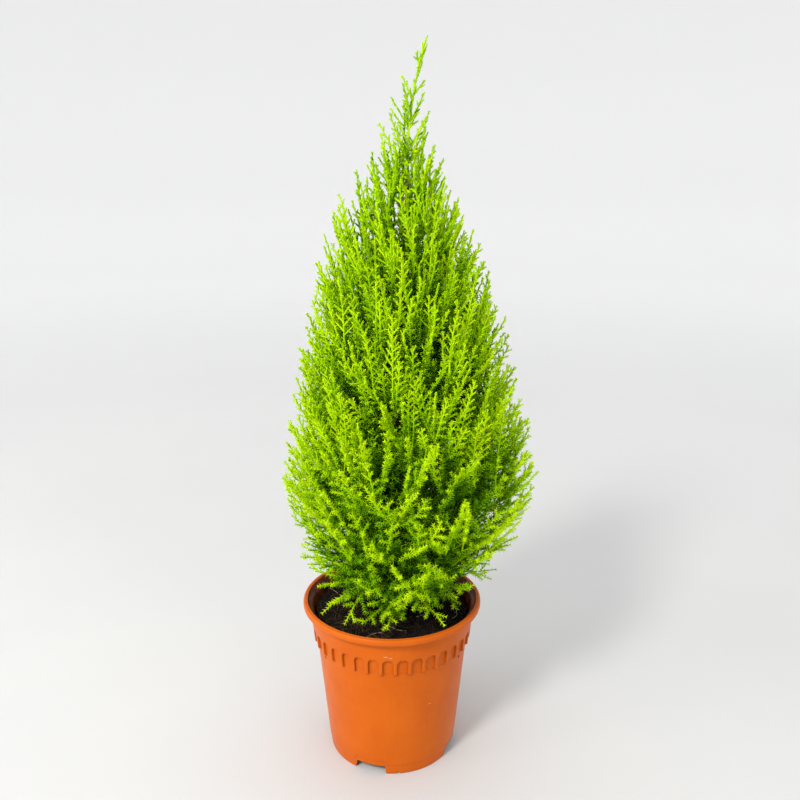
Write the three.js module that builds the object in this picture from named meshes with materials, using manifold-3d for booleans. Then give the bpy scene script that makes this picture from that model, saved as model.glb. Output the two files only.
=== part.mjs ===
// A young golden Monterey cypress standing in a moulded nursery pot filled with potting mix.
// Millimetres, +Z up. The origin is the centre of the pot's foot, on the ground.
import * as THREE from "three";
import { mergeVertices } from "three/addons/utils/BufferGeometryUtils.js";
import Module from "manifold-3d";

const wasm = await Module();
wasm.setup();

// Pot: a tapered moulded wall, a thicker collar with a row of arched flutes, and a rolled lip.
const POT_HEIGHT = 145;
const FOOT_RADIUS = 57.7;
const WALL_SLOPE = 0.0975; // how far the wall leans out for each millimetre of height
const WALL = 2;
const COLLAR_BOTTOM = 107;
const COLLAR_PROUD = 2.8;
const LIP_BOTTOM = 139;
const LIP_RADIUS = 80.2;
const LIP_ROUND = 1.7;
const LIP_WIDTH = 4.2;
const FLUTES = 36;
const FLUTE_WIDTH = 8.6;
const FLUTE_HEIGHT = 13.2;
const FLUTE_DEPTH = 2;
const FLUTE_ARC_STEPS = 2;
const FLUTE_TURN = 2.2; // degrees from the front to the edge of a flat
const NOTCHES = 4;
const NOTCH_WIDTH = 28;
const NOTCH_HEIGHT = 8;
const NOTCH_TURN = -20; // degrees from the front to the first notch, positive to the right
const FLOOR_RAISED = 9.5;
const PAD_RADIUS = 17;
const PAD_SLOPE = 3;
const DRAIN_HOLES = 8;
const DRAIN_RADIUS = 4.5;
const DRAIN_CIRCLE = 38;
const HANGER_HOLES = 3;
const HANGER_RADIUS = 1.5;
const HANGER_HEIGHT = 102;
const HANGER_TURN = 60;
const FACETS = 36; // one flat of the pot for each flute

// Potting mix, a little mounded, and the gap kept between neighbouring solids.
const GAP = 0.3;
const MIX_EDGE = 133;
const MIX_CROWN = 135.5;
const MIX_FLAT_RADIUS = 14;

// Trunk: a slight lean to the right that dies out half way up, and a soft tip that nods to the right.
const TRUNK_FOOT = MIX_CROWN + GAP;
const TREE_TIP = 616;
const TRUNK_TIP = 540;
const TRUNK_FOOT_X = 4;
const TRUNK_LEAN = 9;
const TRUNK_LEAN_END = 0.75; // share of the height where the lean has died out
const TIP_NOD = 12;
const TIP_NOD_FROM = 555;
const TIP_NOD_POWER = 1.6;
const TRUNK_BOW = 3;
const TRUNK_RADIUS = 6;
const TRUNK_TIP_RADIUS = 1.1;
const ROOT_FLARE = 3.5;
const ROOT_FLARE_HEIGHT = 9;
const TRUNK_SIDES = 10;
const TRUNK_STEPS = 11;

// Crown: reach of the outline at heights above the ground, and its shift to the right of the trunk.
const WIDEST_HEIGHT = 270;
const CROWN_OUTLINE = [
  { height: 136, reach: 58, shift: -3 },
  { height: 165, reach: 77, shift: 0 },
  { height: 200, reach: 95, shift: 5 },
  { height: WIDEST_HEIGHT, reach: 113, shift: 9 },
  { height: 340, reach: 95, shift: 0 },
  { height: 420, reach: 81, shift: 0 },
  { height: 480, reach: 60, shift: -8 },
  { height: 540, reach: 25, shift: -2 },
  { height: 580, reach: 14, shift: 0 },
  { height: TREE_TIP, reach: 0, shift: 0 },
];

// Branches leave the trunk one by one in a spiral, nearly level at its foot and steep at its top.
const BRANCH_SPACING = 91; // each branch fills a patch of the crown's surface this wide and this high
const BRANCH_SPACING_TOP = 50;
const LOW_CROWDING = 0.8; // how much closer the branches stand below the crown's widest part
const BRANCH_TURN = 137.5;
const FIRST_TURN = -75;
const LOWEST_TIP = 143;
const HIGHEST_TIP = 572;
const LOWEST_RISE = -6;
const HIGHEST_RISE = 68;
const RISE_POWER = 0.7;
const LOWEST_ARCH = 12; // how far the middle of a low branch stands above its chord
const HIGHEST_SWEEP = 9; // how far the middle of a high branch hangs below its chord
const TURN_JITTER = 10;
const REACH_JITTER = 0.08;
const FULLNESS_JITTER = 0.05;
const LINE_STEPS = 12;
const BOUGHS = 6;
const STEM_SIDES = 3;
const STEM_STEPS = 3;
const STEM_RADIUS = 2.4;
const STEM_RADIUS_TOP = 1.3;
const STEM_TIP_RADIUS = 0.7;
const BOUGH_SHARE = 0.27;
const BOUGH_SIDES = 5;
const BOUGH_STEPS = 3;

// Masses of foliage: a dense core round the outer part of each stem, and slim sprays that stand out of it.
const CORE_FROM = 0.2; // share of the branch that is left bare next to the trunk
const CORE_TO = 0.96;
const CORE_SIDES = 5;
const CORE_STEPS = 3;
const CORE_RADIUS = 31;
const CORE_RADIUS_TOP = 11;
const CORE_INSET = 17; // depth of the core below the crown's outline
const CORE_FILL = 0.9; // share of the free room that the core takes up
const SPRAYS = 12;
const SPRAYS_TOP = 7;
const SPRAYS_LEADER = 15;
const FIRST_SPRAY = 0.28;
const LAST_SPRAY = 0.97;
const SPRAY_ANGLE_LOW = 62; // between stem and spray, low on the stem
const SPRAY_ANGLE_TIP = 20;
const SPRAY_LENGTH = 42;
const SPRAY_LENGTH_TOP = 27;
const SPRAY_SHORTEST = 14;
const SPRAY_SHORTEST_TOP = 6;
const SPRAY_WIDTH_SHARE = 0.36;
const SPRAY_THICK_SHARE = 0.45; // of the width
const SPRAY_WAIST = 0.6; // of the needled length, back from the tip
const TURN_UP = 0.28;
const GOLDEN_ANGLE = 137.5;
const SPACE_CLEARANCE = 0.5;
const TRUNK_CLEARANCE = 1;
const MARCH = 2;
const SEED = 20261;

const MATERIALS = {
  terracotta: new THREE.MeshStandardMaterial({ color: 0xd9622b, roughness: 0.45, metalness: 0 }),
  mix: new THREE.MeshStandardMaterial({ color: 0x1d1510, roughness: 0.95, metalness: 0 }),
  bark: new THREE.MeshStandardMaterial({ color: 0x6b3f22, roughness: 0.85, metalness: 0 }),
  needles: new THREE.MeshStandardMaterial({ color: 0x86b80e, roughness: 0.6, metalness: 0 }),
};

const radians = THREE.MathUtils.degToRad;
const lerp = THREE.MathUtils.lerp;
const clamp = THREE.MathUtils.clamp;

// A number from 0 to 1, the same on every run.
let chanceState = SEED;
function chance() {
  chanceState = (Math.imul(chanceState, 1664525) + 1013904223) >>> 0;
  return chanceState / 4294967296;
}

function jitter(size) {
  return (2 * chance() - 1) * size;
}

// Solids: a closed geometry becomes a solid for joining and cutting, and a named mesh afterwards.
function solidFrom(geometry) {
  const bare = new THREE.BufferGeometry();
  bare.setAttribute("position", geometry.getAttribute("position"));
  bare.setIndex(geometry.getIndex());
  const merged = mergeVertices(bare, 1e-4);
  const corners = merged.getIndex().array;
  const kept = [];
  for (let i = 0; i < corners.length; i += 3) {
    const [a, b, c] = corners.slice(i, i + 3);
    if (a !== b && b !== c && c !== a) kept.push(a, b, c);
  }
  const vertProperties = new Float32Array(merged.getAttribute("position").array);
  return new wasm.Manifold(new wasm.Mesh({ numProp: 3, vertProperties, triVerts: new Uint32Array(kept) }));
}

function largestBody(solid) {
  return solid.decompose().reduce((best, body) => (body.volume() > best.volume() ? body : best));
}

function meshFrom(name, solid, material) {
  const made = solid.getMesh();
  const geometry = new THREE.BufferGeometry();
  geometry.setAttribute("position", new THREE.BufferAttribute(made.vertProperties, 3));
  geometry.setIndex(new THREE.BufferAttribute(made.triVerts, 1));
  geometry.computeVertexNormals();
  const mesh = new THREE.Mesh(geometry, material);
  mesh.name = name;
  return mesh;
}

// A solid of revolution about the Z axis from a profile of [radius, height] pairs.
function turned(profile) {
  const points = profile.map(([radius, height]) => new THREE.Vector2(radius, height));
  return solidFrom(new THREE.LatheGeometry(points, FACETS, radians(FLUTE_TURN)).rotateX(Math.PI / 2));
}

function wallRadius(height) {
  return FOOT_RADIUS + WALL_SLOPE * height;
}

// Turns a cutter that points along -Y, the front of the pot, to an angle about the Z axis.
function turnedTo(degrees, geometry) {
  return solidFrom(geometry.rotateZ(radians(degrees)));
}

function potOutside() {
  const lipArc = [0, 0.5, 1].map((share) => {
    const angle = share * (Math.PI / 2);
    const inset = LIP_ROUND * (1 - Math.cos(angle));
    return [LIP_RADIUS - inset, POT_HEIGHT - LIP_ROUND * (1 - Math.sin(angle))];
  });
  return turned(
    [
      [0, 0],
      [FOOT_RADIUS, 0],
      [wallRadius(COLLAR_BOTTOM), COLLAR_BOTTOM],
      [wallRadius(COLLAR_BOTTOM) + COLLAR_PROUD, COLLAR_BOTTOM],
      [wallRadius(LIP_BOTTOM) + COLLAR_PROUD, LIP_BOTTOM],
      [LIP_RADIUS - LIP_ROUND, LIP_BOTTOM],
      [LIP_RADIUS, LIP_BOTTOM + LIP_ROUND],
      ...lipArc,
      [0, POT_HEIGHT],
    ],
  );
}

// The profile of the floor, from the middle of the sunk pad out to the wall, seen from inside the pot.
function potFloor(gap) {
  const floor = FLOOR_RAISED + WALL + gap;
  return [
    [0, WALL + gap],
    [PAD_RADIUS - WALL - gap, WALL + gap],
    [PAD_RADIUS + PAD_SLOPE - WALL - gap, floor],
    [wallRadius(floor) - WALL - gap, floor],
  ];
}

function potHollow() {
  const mouth = LIP_RADIUS - LIP_WIDTH;
  return turned([
    ...potFloor(0),
    [wallRadius(COLLAR_BOTTOM) - WALL, COLLAR_BOTTOM],
    [wallRadius(LIP_BOTTOM), LIP_BOTTOM],
    [mouth, POT_HEIGHT - 1],
    [mouth, POT_HEIGHT + 1],
    [0, POT_HEIGHT + 1],
  ]);
}

function potUnderside() {
  const rim = FOOT_RADIUS - WALL;
  return turned(
    [
      [PAD_RADIUS, -1],
      [rim, -1],
      [rim, FLOOR_RAISED],
      [PAD_RADIUS + PAD_SLOPE, FLOOR_RAISED],
      [PAD_RADIUS, 0],
      [PAD_RADIUS, -1],
    ],
  );
}

// One arched flute: a prism with a round head, open at the collar's bottom edge.
function flute(turn) {
  const half = FLUTE_WIDTH / 2;
  const outline = new THREE.Shape();
  outline.moveTo(-half, -1);
  outline.lineTo(half, -1);
  outline.lineTo(half, FLUTE_HEIGHT - half);
  outline.absarc(0, FLUTE_HEIGHT - half, half, 0, Math.PI, false);
  outline.closePath();
  const settings = { depth: COLLAR_PROUD + WALL, bevelEnabled: false, curveSegments: FLUTE_ARC_STEPS };
  const prism = new THREE.ExtrudeGeometry(outline, settings);
  const back = wallRadius(COLLAR_BOTTOM) + COLLAR_PROUD - FLUTE_DEPTH;
  prism.rotateX(Math.PI / 2 - Math.atan(WALL_SLOPE));
  prism.translate(0, -back, COLLAR_BOTTOM);
  return turnedTo(turn, prism);
}

function buildPot() {
  const cutters = [potHollow(), potUnderside()];
  for (let i = 0; i < FLUTES; i++) cutters.push(flute(FLUTE_TURN + (360 / FLUTES) * (i + 0.5)));
  for (let i = 0; i < NOTCHES; i++) {
    const notch = new THREE.BoxGeometry(NOTCH_WIDTH, 6 * WALL, 2 * NOTCH_HEIGHT);
    cutters.push(turnedTo(NOTCH_TURN + (360 / NOTCHES) * i, notch.translate(0, -FOOT_RADIUS, 0)));
  }
  for (let i = 0; i < DRAIN_HOLES; i++) {
    const hole = new THREE.CylinderGeometry(DRAIN_RADIUS, DRAIN_RADIUS, 4 * WALL, 6).rotateX(Math.PI / 2);
    hole.translate(0, -DRAIN_CIRCLE, FLOOR_RAISED + WALL / 2);
    cutters.push(turnedTo((360 / DRAIN_HOLES) * i, hole));
  }
  for (let i = 0; i < HANGER_HOLES; i++) {
    const hole = new THREE.CylinderGeometry(HANGER_RADIUS, HANGER_RADIUS, 8 * WALL, 6);
    const turn = HANGER_TURN + (360 / HANGER_HOLES) * i;
    cutters.push(turnedTo(turn, hole.translate(0, -wallRadius(HANGER_HEIGHT), HANGER_HEIGHT)));
  }
  return largestBody(potOutside().subtract(wasm.Manifold.union(cutters)));
}

function buildMix() {
  return turned([
    ...potFloor(GAP),
    [wallRadius(MIX_EDGE) - WALL - GAP, MIX_EDGE],
    [MIX_FLAT_RADIUS, MIX_CROWN],
    [0, MIX_CROWN],
  ]);
}

// A tapering limb along a curve: a cylinder whose rings are laid on the curve.
function limb(curve, radiusAt, sides, steps) {
  const tube = new THREE.CylinderGeometry(1, 1, 1, sides, steps);
  const position = tube.getAttribute("position");
  const side = new THREE.Vector3();
  const across = new THREE.Vector3();
  const chord = curve.getPoint(1).sub(curve.getPoint(0));
  const level = Math.hypot(chord.x, chord.y) > 0.2 * Math.abs(chord.z);
  for (let i = 0; i < position.count; i++) {
    const t = clamp(position.getY(i) + 0.5, 0, 1);
    const tangent = curve.getTangent(t);
    if (level) side.set(-tangent.y, tangent.x, 0).normalize();
    else side.set(0, tangent.z, -tangent.y).normalize();
    across.crossVectors(side, tangent);
    const out = side.clone().multiplyScalar(position.getX(i)).addScaledVector(across, position.getZ(i));
    const at = curve.getPoint(t).addScaledVector(out, out.lengthSq() > 0 ? radiusAt(t, out) : 0);
    position.setXYZ(i, at.x, at.y, at.z);
  }
  return solidFrom(tube);
}

// A stretch of a curve, with its own measure from 0 to 1.
function stretch(curve, from, to) {
  return {
    getPoint: (t) => curve.getPoint(lerp(from, to, t)),
    getTangent: (t) => curve.getTangent(lerp(from, to, t)),
  };
}

// The trunk's centre line, and its radius at a height above the ground.
function trunkCentre(height) {
  const share = (height - TRUNK_FOOT) / (TREE_TIP - TRUNK_FOOT);
  const lean = TRUNK_LEAN * Math.sin((Math.PI / 2) * clamp(share / TRUNK_LEAN_END, 0, 1));
  const nod = TIP_NOD * clamp((height - TIP_NOD_FROM) / (TREE_TIP - TIP_NOD_FROM), 0, 1) ** TIP_NOD_POWER;
  return new THREE.Vector3(TRUNK_FOOT_X + lean + nod, TRUNK_BOW * Math.sin(Math.PI * share), height);
}

function trunkRadius(height) {
  const share = clamp((height - TRUNK_FOOT) / (TRUNK_TIP - TRUNK_FOOT), 0, 1);
  const flare = ROOT_FLARE * Math.exp(-(height - TRUNK_FOOT) / ROOT_FLARE_HEIGHT);
  return lerp(TRUNK_RADIUS, TRUNK_TIP_RADIUS, share) + flare;
}

class TrunkLine extends THREE.Curve {
  getPoint(t) {
    return trunkCentre(lerp(TRUNK_FOOT, TRUNK_TIP, t ** 1.4));
  }
  getTangent() {
    return new THREE.Vector3(0, 0, 1);
  }
}

function buildTrunk() {
  const line = new TrunkLine();
  return limb(line, (t) => trunkRadius(line.getPoint(t).z), TRUNK_SIDES, TRUNK_STEPS);
}

function crownReach(height, turn) {
  const above = CROWN_OUTLINE.findIndex((station) => station.height >= height);
  const high = CROWN_OUTLINE[Math.max(above, 1)];
  const low = CROWN_OUTLINE[Math.max(above, 1) - 1];
  const share = clamp((height - low.height) / (high.height - low.height), 0, 1);
  return lerp(low.reach, high.reach, share) + lerp(low.shift, high.shift, share) * Math.cos(turn);
}

// One branch: where it leaves the trunk, where its tip is, and the curve between them.
function branch(name, tipHeight, turn, sides) {
  const share = (tipHeight - LOWEST_TIP) / (HIGHEST_TIP - LOWEST_TIP);
  const reach = crownReach(tipHeight, turn) * (1 - REACH_JITTER * chance());
  const rise = lerp(LOWEST_RISE, HIGHEST_RISE, share ** RISE_POWER);
  const launch = tipHeight - reach * Math.tan(radians(rise));
  const stemRadius = lerp(STEM_RADIUS, STEM_RADIUS_TOP, share);
  const bend = 2 * lerp(LOWEST_ARCH, -HIGHEST_SWEEP, share ** 0.5);
  const steepness = Math.atan2(tipHeight - launch + 2 * bend, reach);
  const leanBack = stemRadius * Math.cos(Math.PI / sides) * Math.abs(Math.sin(steepness));
  const clear = trunkRadius(launch - stemRadius) + GAP + leanBack;
  const out = new THREE.Vector3(Math.cos(turn), Math.sin(turn), 0);
  const start = trunkCentre(launch).addScaledVector(out, clear);
  const end = trunkCentre(tipHeight).addScaledVector(out, reach);
  const middle = start.clone().lerp(end, 0.5);
  middle.z += bend;
  const curve = new THREE.QuadraticBezierCurve3(start, middle, end);
  const sprayLength = lerp(SPRAY_LENGTH, SPRAY_LENGTH_TOP, share);
  const fullness = 1 + jitter(FULLNESS_JITTER);
  const line = curve.getPoints(LINE_STEPS);
  return { name, share, curve, line, stemRadius, sprayLength, fullness, from: 0, dense: true };
}

// The leader: the soft green tip of the tree, above the woody trunk.
function leader() {
  const start = trunkCentre(TRUNK_TIP + GAP);
  const end = trunkCentre(TREE_TIP);
  const curve = new THREE.QuadraticBezierCurve3(start, trunkCentre(lerp(TRUNK_TIP, TREE_TIP, 0.55)), end);
  return {
    name: "foliage_leader",
    share: 1,
    curve,
    line: curve.getPoints(LINE_STEPS),
    stemRadius: TRUNK_TIP_RADIUS,
    sprayLength: SPRAY_LENGTH_TOP,
    fullness: 1,
    from: 0,
    dense: false,
  };
}

function allBranches() {
  const made = [];
  let height = LOWEST_TIP;
  while (height < HIGHEST_TIP) {
    const turn = radians(FIRST_TURN + BRANCH_TURN * made.length + jitter(TURN_JITTER));
    const sides = made.length < BOUGHS ? BOUGH_SIDES : STEM_SIDES;
    made.push(branch(`foliage_${made.length + 1}`, height, turn, sides));
    const share = (height - LOWEST_TIP) / (HIGHEST_TIP - LOWEST_TIP);
    const crowding = height < WIDEST_HEIGHT ? LOW_CROWDING : 1;
    const spacing = lerp(BRANCH_SPACING, BRANCH_SPACING_TOP, share) * crowding;
    height += spacing ** 2 / (2 * Math.PI * crownReach(height, Math.PI / 2));
  }
  made.push(leader());
  return made;
}

const branches = allBranches();

function distanceToLine(point, line) {
  let best = Infinity;
  const spot = new THREE.Vector3();
  for (let i = 0; i + 1 < line.length; i++) {
    new THREE.Line3(line[i], line[i + 1]).closestPointToPoint(point, true, spot);
    best = Math.min(best, spot.distanceTo(point));
  }
  return best;
}

for (const one of branches) {
  one.near = branches.filter((other) => {
    return other !== one && one.line.some((point) => distanceToLine(point, other.line) < 2 * CORE_RADIUS);
  });
}

// A mass keeps to the points that are nearer to its own stem than to any other, clear of trunk and pot.
function inOwnSpace(point, owner, inset) {
  const axis = trunkCentre(point.z);
  const fromTrunk = Math.hypot(point.x - axis.x, point.y - axis.y);
  if (point.z < TRUNK_TIP + GAP && fromTrunk < trunkRadius(point.z) + TRUNK_CLEARANCE) return false;
  const lowest = Math.hypot(point.x, point.y) > wallRadius(LIP_BOTTOM) - 2 * WALL ? POT_HEIGHT : MIX_CROWN;
  if (point.z < lowest + 1 || point.z > TREE_TIP - inset) return false;
  const turn = Math.atan2(point.y - axis.y, point.x - axis.x);
  if (fromTrunk > crownReach(point.z, turn) * owner.fullness - inset) return false;
  const own = distanceToLine(point, owner.line) + SPACE_CLEARANCE;
  return owner.near.every((other) => distanceToLine(point, other.line) > own);
}

// How far a line from a point runs before it leaves the mass's own space.
function room(from, direction, longest, owner, inset) {
  const at = from.clone();
  let length = 0;
  while (length < longest) {
    at.addScaledVector(direction, MARCH);
    if (!inOwnSpace(at, owner, inset)) return length;
    length += MARCH;
  }
  return longest;
}

// A direction at an angle to another, turned about it, and then bent a little upwards.
function sideways(forward, angle, turn, lift) {
  const level = new THREE.Vector3(-forward.y, forward.x, 0);
  if (level.lengthSq() < 1e-6) level.set(1, 0, 0);
  level.normalize().applyAxisAngle(forward, radians(turn));
  const direction = forward.clone().multiplyScalar(Math.cos(radians(angle)));
  direction.addScaledVector(level, Math.sin(radians(angle)));
  direction.z += lift;
  return direction.normalize();
}

// One twig with its spray of needles: a slim three-sided spindle, widest where the needles begin.
function spray(foot, direction, reach, needled, slimness, turn) {
  const waist = Math.max(reach - SPRAY_WAIST * needled, 0.5 * reach);
  const width = Math.min(needled, reach) * SPRAY_WIDTH_SHARE * slimness;
  const middle = new THREE.Vector2(width / 2, waist);
  const outline = [new THREE.Vector2(0, 0), middle, new THREE.Vector2(0, reach)];
  const spindle = new THREE.LatheGeometry(outline, 3).rotateX(Math.PI / 2).scale(1, SPRAY_THICK_SHARE, 1);
  const broad = sideways(direction, 90, turn, 0);
  const thick = new THREE.Vector3().crossVectors(direction, broad);
  return spindle.applyMatrix4(new THREE.Matrix4().makeBasis(broad, thick, direction).setPosition(foot));
}

function cornersOf(geometry) {
  const position = geometry.getAttribute("position");
  const corners = [];
  for (let i = 0; i < position.count; i++) corners.push(new THREE.Vector3().fromBufferAttribute(position, i));
  return corners;
}

// A mass of foliage: one stem, a dense core of short twigs round it, and sprays that reach the outline.
function buildMass(owner) {
  const { curve, from, share } = owner;
  const stem = stretch(curve, from, 1);
  const thickness = (t) => lerp(owner.stemRadius * (1 - 0.6 * from), STEM_TIP_RADIUS, t);
  const solids = [limb(stem, thickness, STEM_SIDES, STEM_STEPS)];
  const coreRadius = lerp(CORE_RADIUS, CORE_RADIUS_TOP, share);
  const needled = stretch(curve, Math.max(CORE_FROM, from + 0.05), CORE_TO);
  const coreReach = (t, out) => {
    const swell = Math.sqrt(Math.sin(Math.PI * lerp(0.04, 0.94, t)));
    const free = room(needled.getPoint(t), out, coreRadius, owner, CORE_INSET);
    return Math.max(STEM_TIP_RADIUS, CORE_FILL * Math.min(free, swell * coreRadius));
  };
  if (owner.dense) solids.push(limb(needled, coreReach, CORE_SIDES, CORE_STEPS));
  const lift = TURN_UP * Math.min(1, 4 * share);
  const count = owner.dense ? Math.round(lerp(SPRAYS, SPRAYS_TOP, share)) : SPRAYS_LEADER;
  const firstTurn = 360 * chance();
  for (let i = 0; i < count; i++) {
    const t = lerp(FIRST_SPRAY, LAST_SPRAY, i / (count - 1));
    const foot = stem.getPoint(t);
    const angle = lerp(SPRAY_ANGLE_LOW, SPRAY_ANGLE_TIP, t);
    const direction = sideways(stem.getTangent(t), angle, firstTurn + GOLDEN_ANGLE * i, lift);
    const reach = room(foot, direction, 2 * owner.sprayLength, owner, 0);
    if (reach < lerp(SPRAY_SHORTEST, SPRAY_SHORTEST_TOP, share)) continue;
    const turn = 360 * chance();
    for (const slimness of [1, 0.65]) {
      const blade = spray(foot, direction, reach, owner.sprayLength, slimness, turn);
      if (!cornersOf(blade).every((at) => at.equals(foot) || inOwnSpace(at, owner, -MARCH))) continue;
      solids.push(solidFrom(blade));
      break;
    }
  }
  return largestBody(wasm.Manifold.union(solids));
}

// A low bough: the bare, woody inner length of a lowest branch, which ends where its foliage begins.
function buildBough(owner) {
  const inner = stretch(owner.curve, 0, BOUGH_SHARE);
  return limb(inner, (t) => owner.stemRadius * (1 - 0.6 * BOUGH_SHARE * t), BOUGH_SIDES, BOUGH_STEPS);
}

const cypress = new THREE.Group();
cypress.name = "potted_cypress";
cypress.add(meshFrom("pot", buildPot(), MATERIALS.terracotta));
cypress.add(meshFrom("potting_mix", buildMix(), MATERIALS.mix));
cypress.add(meshFrom("trunk", buildTrunk(), MATERIALS.bark));
branches.forEach((owner, index) => {
  if (index < BOUGHS) {
    cypress.add(meshFrom(`bough_${index + 1}`, buildBough(owner), MATERIALS.bark));
    owner.from = BOUGH_SHARE + GAP / owner.curve.getLength();
  }
  cypress.add(meshFrom(owner.name, buildMass(owner), MATERIALS.needles));
});

export default cypress;
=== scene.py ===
import math

import bmesh
import bpy
import numpy as np
from mathutils import Matrix, Vector, noise


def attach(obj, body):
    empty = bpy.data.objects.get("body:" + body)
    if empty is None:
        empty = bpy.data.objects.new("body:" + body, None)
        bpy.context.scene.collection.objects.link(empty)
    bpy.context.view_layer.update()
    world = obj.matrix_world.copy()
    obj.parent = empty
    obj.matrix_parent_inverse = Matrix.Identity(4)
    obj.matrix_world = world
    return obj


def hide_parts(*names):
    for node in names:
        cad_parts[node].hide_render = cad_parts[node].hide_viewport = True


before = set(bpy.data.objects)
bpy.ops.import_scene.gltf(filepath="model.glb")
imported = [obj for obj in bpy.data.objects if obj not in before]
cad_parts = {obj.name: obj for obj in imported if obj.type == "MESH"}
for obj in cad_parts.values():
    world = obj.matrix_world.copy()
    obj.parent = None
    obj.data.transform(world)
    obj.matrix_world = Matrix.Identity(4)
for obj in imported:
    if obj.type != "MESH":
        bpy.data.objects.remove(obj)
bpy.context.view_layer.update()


# The pot is a tapered nursery pot, injection moulded in thin terracotta-coloured plastic.
# A collar with a row of arched flutes stiffens the mouth under a rolled lip, and four notches
# in the foot ring let water run out from under the raised floor. Sizes are in millimetres.
MM = 0.001
POT_HEIGHT = 145
FOOT_RADIUS = 57.7
WALL_SLOPE = 0.0975
WALL = 2
WALL_RINGS = [0.5, 2, 4.5, 7, 8.6, 9.1, 9.6, 10.1, 10.6, 13, 18, 24, 38, 55, 72, 88, 100, 105.5]
COLLAR_BOTTOM = 107
COLLAR_PROUD = 2.8
COLLAR_RINGS = [*np.arange(107.5, 122.8, 0.62), 124, 127, 132, 136.5, 138.4]
LIP_BOTTOM = 139
LIP_PROFILE = [
    (75.2, 138.9), (77.6, 139.0), (79.1, 139.2), (79.9, 139.8), (80.2, 140.8), (80.2, 142.6), (80.0, 143.6),
    (79.5, 144.4), (78.8, 144.85), (78.1, 144.95), (77.7, 144.6), (77.3, 144.6), (76.9, 145), (76.4, 144.9),
    (76.1, 144.4), (75.9, 143.5), (75.0, 142.2), (73.2, 140.6), (71.6, 139.2), (71.0, 137)]
FLUTES = 36
FLUTE_WIDTH = 8.6
FLUTE_HEIGHT = 14.4
FLUTE_DEPTH = 2.5
FLUTE_TURN = 2.2
FLUTE_EDGE = 0.32
HALF_FLUTE = np.array([0, 1.2, 2.2, 2.85, 3.25, 3.5, 3.75, 4.2])
NOTCHES = 4
NOTCH_TURN = -20
NOTCH_WIDTH = 28
NOTCH_HEIGHT = 8
NOTCH_EDGE = 0.6
NICK_TURN = 5
NICK_WIDTH = 4
NICK_HEIGHT = 2.2
FOOT_BLEND = 24
SEAM_HEIGHT = 9.6
SEAM_STEP = 0.5
FLOOR_RAISED = 9.5
PAD_RADIUS = 17
PAD_SLOPE = 3
DRAIN_HOLES = 8
DRAIN_RADIUS = 4.5
DRAIN_CIRCLE = 38
HANGER_HOLES = 3
HANGER_RADIUS = 1.5
HANGER_HEIGHT = 102
HANGER_TURN = 60
POT_ORANGE = (195, 88, 9)
POT_ORANGE_LIGHT = (205, 98, 14)
DRAG_MARK = (214, 118, 56)
# The dark inside is soil dirt and painted shade; the flute and collar browns are painted shade and shadow.
SOILED_AND_SHADED = (58, 24, 13)
PAINTED_FLUTE_SHADE = (122, 46, 8)
PAINTED_COLLAR_SHADOW = (122, 48, 10)
SCUFF_WHITE = (238, 222, 206)
SCUFF_WIDTH = 0.55
SCUFFS = [(-5.4, 125.6, -28, 2.6), (-1.2, 124.4, -40, 1.7), (32.0, 70.0, 70, 2.0)]

flute_pitch = 360 / FLUTES
flute_columns = np.concatenate([-HALF_FLUTE[:0:-1], HALF_FLUTE, [flute_pitch / 2]])
flute_middles = FLUTE_TURN + flute_pitch * (np.arange(FLUTES) + 0.5)
pot_turns = np.radians((flute_middles[:, None] + flute_columns[None, :]).ravel())


def smooth_step(low, high, value):
    share = np.clip((value - low) / (high - low), 0, 1)
    return share * share * (3 - 2 * share)


def wall_radius(height):
    return FOOT_RADIUS + WALL_SLOPE * height


def round_ring(radius, height, turns=pot_turns):
    return np.stack([radius * np.sin(turns), -radius * np.cos(turns), height + 0 * turns], axis=1)


def off_nearest(first, count):
    """How far round each column is from the nearest of so many even places."""
    pitch = 360 / count
    return np.radians((np.degrees(pot_turns) - first + pitch / 2) % pitch - pitch / 2)


def flute_cut(height):
    across = off_nearest(flute_middles[0], FLUTES) * wall_radius(COLLAR_BOTTOM)
    above = max(height - COLLAR_BOTTOM - FLUTE_HEIGHT + FLUTE_WIDTH / 2, 0)
    inside = FLUTE_WIDTH / 2 - np.hypot(across, above)
    return FLUTE_DEPTH * smooth_step(-FLUTE_EDGE, FLUTE_EDGE, inside)


def foot_notch():
    inside = NOTCH_WIDTH / 2 - np.abs(off_nearest(NOTCH_TURN, NOTCHES)) * FOOT_RADIUS
    nick = NICK_WIDTH / 2 - np.abs(np.degrees(pot_turns) - NICK_TURN) * math.radians(FOOT_RADIUS)
    notch = NOTCH_HEIGHT * smooth_step(-NOTCH_EDGE, NOTCH_EDGE, inside)
    return notch + NICK_HEIGHT * smooth_step(0, NICK_WIDTH / 2, nick)


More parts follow.
